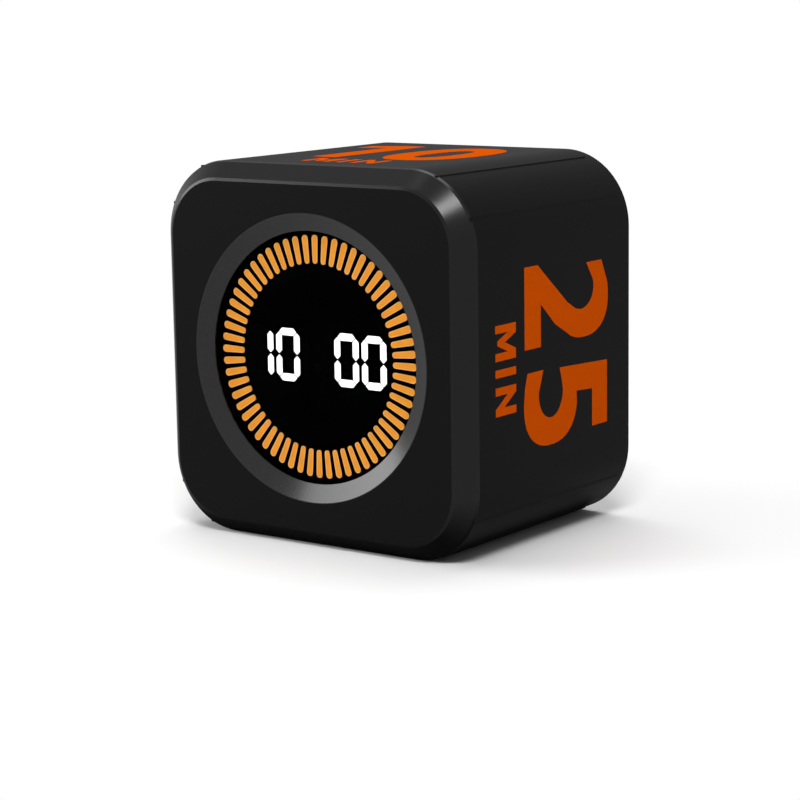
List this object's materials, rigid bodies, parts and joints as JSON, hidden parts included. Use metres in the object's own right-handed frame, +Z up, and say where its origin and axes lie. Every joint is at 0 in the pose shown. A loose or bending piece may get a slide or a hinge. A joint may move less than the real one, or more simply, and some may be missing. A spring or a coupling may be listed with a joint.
{
  "type": "visual countdown timer",
  "caption": "Square flip timer with a round window, a ring of light bars and digits in front, and a speaker, push buttons, a slide switch and a charging inlet behind.",
  "frame": {"origin": "middle of the underside, on the surface that the timer stands on", "axes": "+Z up, -Y out of the front face with the display, +X to the right as the display is read"},
  "size_m": [0.064, 0.05, 0.064],
  "materials": {
    "black_shell": "fine matte moulding",
    "black_trim": "satin",
    "smoked_window": "polished, smoked",
    "black_inner": "matte",
    "orange_light": "translucent, lit",
    "white_light": "translucent, lit",
    "board_green": "lacquered board",
    "chip_black": "moulded",
    "led_white": "small chips",
    "connector_cream": "moulded",
    "ribbon_grey": "flat cable",
    "screw_steel": "zinc plated",
    "cell_foil": "satin foil",
    "pad_foam": "foam",
    "lead_wire": "sleeved wire",
    "inlet_steel": "drawn steel",
    "speaker_steel": "coated steel",
    "speaker_paper": "pressed paper",
    "grille_cloth": "woven",
    "magnet_metal": "sintered",
    "switch_metal": "tin plated"
  },
  "bodies": {
    "body": {"housing": "black_shell", "trim_ring": "black_trim", "display_lens": "smoked_window", "segment_reflector": "black_inner", "ring_bars": "orange_light", "minutes_tens_digit": "white_light", "minutes_ones_digit": "white_light", "seconds_tens_digit": "white_light", "seconds_ones_digit": "white_light", "colon_dots": "white_light", "led_board": "board_green", "ring_leds": "led_white", "digit_leds": "led_white", "display_driver": "chip_black", "display_connector": "connector_cream", "display_ribbon": "ribbon_grey", "display_screws": "screw_steel", "battery_frame": "black_inner", "frame_screws": "screw_steel", "battery_pad": "pad_foam", "battery_cell": "cell_foil", "protection_board": "board_green", "battery_header": "connector_cream", "battery_plug": "connector_cream", "battery_leads": "lead_wire", "main_board": "board_green", "board_screws": "screw_steel", "microcontroller": "chip_black", "tilt_sensor": "chip_black", "charge_controller": "chip_black", "main_connector": "connector_cream", "usb_shell": "inlet_steel", "usb_insert": "chip_black", "switch_case": "switch_metal", "tact_switches": "chip_black", "speaker_cloth": "grille_cloth", "speaker_gasket": "pad_foam", "speaker_basket": "speaker_steel", "speaker_diaphragm": "speaker_paper", "speaker_magnet": "magnet_metal", "speaker_leads": "lead_wire", "rear_cover": "black_shell", "rear_cover_screws": "screw_steel"},
    "switch": {"switch_lever": "chip_black", "switch_knob": "black_trim"},
    "minutes_key": {"minutes_plunger": "chip_black", "minutes_button": "black_trim"},
    "seconds_key": {"seconds_plunger": "chip_black", "seconds_button": "black_trim"},
    "start_key": {"start_plunger": "chip_black", "start_button": "black_trim"}
  },
  "joints": [
    {"name": "volume_slide", "type": "slide", "parent": "body", "child": "switch", "axis": [1, 0, 0], "range_m": [-0.002, 0.002]},
    {"name": "minutes_press", "type": "slide", "parent": "body", "child": "minutes_key", "axis": [0, -1, 0], "range_m": [0, 0.0005], "stiffness_N_per_m": 1500},
    {"name": "seconds_press", "type": "slide", "parent": "body", "child": "seconds_key", "axis": [0, -1, 0], "range_m": [0, 0.0005], "stiffness_N_per_m": 1500},
    {"name": "start_press", "type": "slide", "parent": "body", "child": "start_key", "axis": [0, -1, 0], "range_m": [0, 0.0005], "stiffness_N_per_m": 1500}
  ]
}
